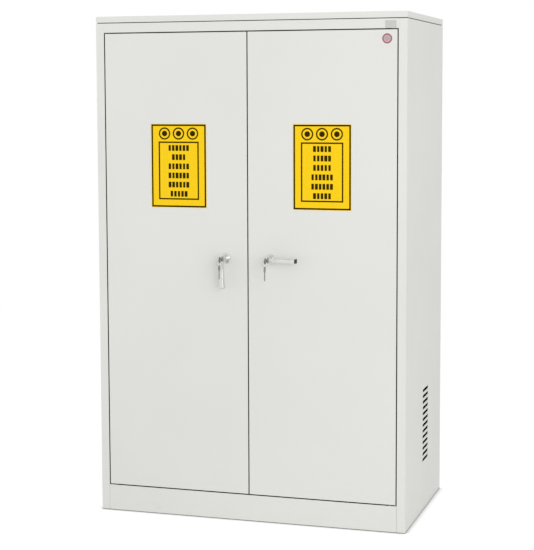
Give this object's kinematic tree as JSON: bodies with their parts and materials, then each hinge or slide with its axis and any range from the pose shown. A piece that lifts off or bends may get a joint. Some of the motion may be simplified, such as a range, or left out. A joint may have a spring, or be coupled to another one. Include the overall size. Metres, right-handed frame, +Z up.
{
  "type": "reagent safety cabinet",
  "caption": "Tall steel safety cabinet for acids and bases, with hinged doors, lever locks, tray shelves, side vents and duct collars.",
  "frame": {"origin": "on the floor, under the middle of the overall box, keys included", "axes": "+X to the right seen from the front, +Y from the doors to the back, +Z up"},
  "size_m": [1.2, 0.764, 1.92],
  "materials": {
    "powder_coat": "satin powder coat, fine orange-peel",
    "tray_coat": "satin powder coat, wipe-clean",
    "zinc": "bright zinc plate",
    "burnished_steel": "burnished and greased",
    "chrome": "polished",
    "nickel": "nickel plate, handled",
    "brass": "turned",
    "black_plastic": "moulded",
    "rubber": "closed-cell strip",
    "placard": "printed laminated plate"
  },
  "bodies": {
    "cabinet": {"left_side_panel": "powder_coat", "right_side_panel": "powder_coat", "back_panel": "powder_coat", "roof_panel": "powder_coat", "top_cover": "powder_coat", "cover_seal": "rubber", "front_top_rail": "powder_coat", "plinth_front": "powder_coat", "floor_panel": "powder_coat", "centre_partition": "powder_coat", "shelf_uprights": "zinc", "left_shelf_1": "tray_coat", "left_shelf_2": "tray_coat", "left_shelf_3": "tray_coat", "right_shelf_1": "tray_coat", "right_shelf_2": "tray_coat", "right_shelf_3": "tray_coat", "left_sump_tray": "tray_coat", "right_sump_tray": "tray_coat", "shelf_clips": "zinc", "levelling_feet": "black_plastic", "foot_brackets": "zinc", "exhaust_spigots": "zinc", "hinge_pins": "burnished_steel"},
    "left_door": {"left_door_skin": "powder_coat", "left_door_inner_panel": "powder_coat", "left_door_stiffener": "powder_coat", "left_hinge_bushes": "brass", "left_lock_case": "zinc", "left_rosette": "chrome", "left_rod_guides": "zinc", "left_meeting_gasket": "rubber", "left_placard": "placard"},
    "left_handle": {"left_lever": "chrome", "left_lever_end_cap": "black_plastic", "left_latch_cam": "zinc"},
    "left_lock": {"left_key": "nickel", "left_lock_plug": "nickel"},
    "left_spare": {"left_key_ring": "nickel", "left_spare_key": "nickel"},
    "left_upper_rod": {"left_top_rod": "zinc"},
    "left_lower_rod": {"left_bottom_rod": "zinc"},
    "right_door": {"right_door_skin": "powder_coat", "right_door_inner_panel": "powder_coat", "right_door_stiffener": "powder_coat", "right_hinge_bushes": "brass", "right_lock_case": "zinc", "right_rosette": "chrome", "right_rod_guides": "zinc", "right_meeting_gasket": "rubber", "right_placard": "placard"},
    "right_handle": {"right_lever": "chrome", "right_lever_end_cap": "black_plastic", "right_latch_cam": "zinc"},
    "right_lock": {"right_key": "nickel", "right_lock_plug": "nickel"},
    "right_spare": {"right_key_ring": "nickel", "right_spare_key": "nickel"},
    "right_upper_rod": {"right_top_rod": "zinc"},
    "right_lower_rod": {"right_bottom_rod": "zinc"}
  },
  "joints": [
    {"name": "left_door_swing", "type": "hinge", "parent": "cabinet", "child": "left_door", "pos_m": [-0.55, -0.29, 0.9695], "axis": [0, 0, -1], "range_deg": [0, 110]},
    {"name": "left_handle_turn", "type": "hinge", "parent": "left_door", "child": "left_handle", "pos_m": [-0.088, -0.298, 0.997], "axis": [0, 1, 0], "range_deg": [0, 90]},
    {"name": "left_key_turn", "type": "hinge", "parent": "left_handle", "child": "left_lock", "pos_m": [-0.088, -0.348, 0.997], "axis": [0, 1, 0], "range_deg": [0, 90]},
    {"name": "left_spare_key_swing", "type": "hinge", "parent": "left_lock", "child": "left_spare", "pos_m": [-0.088, -0.371, 0.997], "axis": [1, 0, 0], "range_deg": [-60, 8]},
    {"name": "left_upper_rod_slide", "type": "slide", "parent": "left_door", "child": "left_upper_rod", "axis": [0, 0, 1], "range_m": [0, 0.0181]},
    {"name": "left_lower_rod_slide", "type": "slide", "parent": "left_door", "child": "left_lower_rod", "axis": [0, 0, -1], "range_m": [0, 0.0181]},
    {"name": "right_door_swing", "type": "hinge", "parent": "cabinet", "child": "right_door", "pos_m": [0.55, -0.29, 0.9695], "axis": [0, 0, 1], "range_deg": [0, 110]},
    {"name": "right_handle_turn", "type": "hinge", "parent": "right_door", "child": "right_handle", "pos_m": [0.088, -0.298, 0.997], "axis": [0, 1, 0], "range_deg": [0, 90]},
    {"name": "right_key_turn", "type": "hinge", "parent": "right_handle", "child": "right_lock", "pos_m": [0.088, -0.348, 0.997], "axis": [0, 1, 0], "range_deg": [0, 90]},
    {"name": "right_spare_key_swing", "type": "hinge", "parent": "right_lock", "child": "right_spare", "pos_m": [0.088, -0.371, 0.997], "axis": [1, 0, 0], "range_deg": [-60, 8]},
    {"name": "right_upper_rod_slide", "type": "slide", "parent": "right_door", "child": "right_upper_rod", "axis": [0, 0, 1], "range_m": [0, 0.0181]},
    {"name": "right_lower_rod_slide", "type": "slide", "parent": "right_door", "child": "right_lower_rod", "axis": [0, 0, -1], "range_m": [0, 0.0181]}
  ],
  "couplings": [
    {"joint": "left_upper_rod_slide", "follows": "left_handle_turn", "m_per_rad": 0.011459},
    {"joint": "left_lower_rod_slide", "follows": "left_handle_turn", "m_per_rad": 0.011459},
    {"joint": "right_upper_rod_slide", "follows": "right_handle_turn", "m_per_rad": 0.011459},
    {"joint": "right_lower_rod_slide", "follows": "right_handle_turn", "m_per_rad": 0.011459}
  ]
}
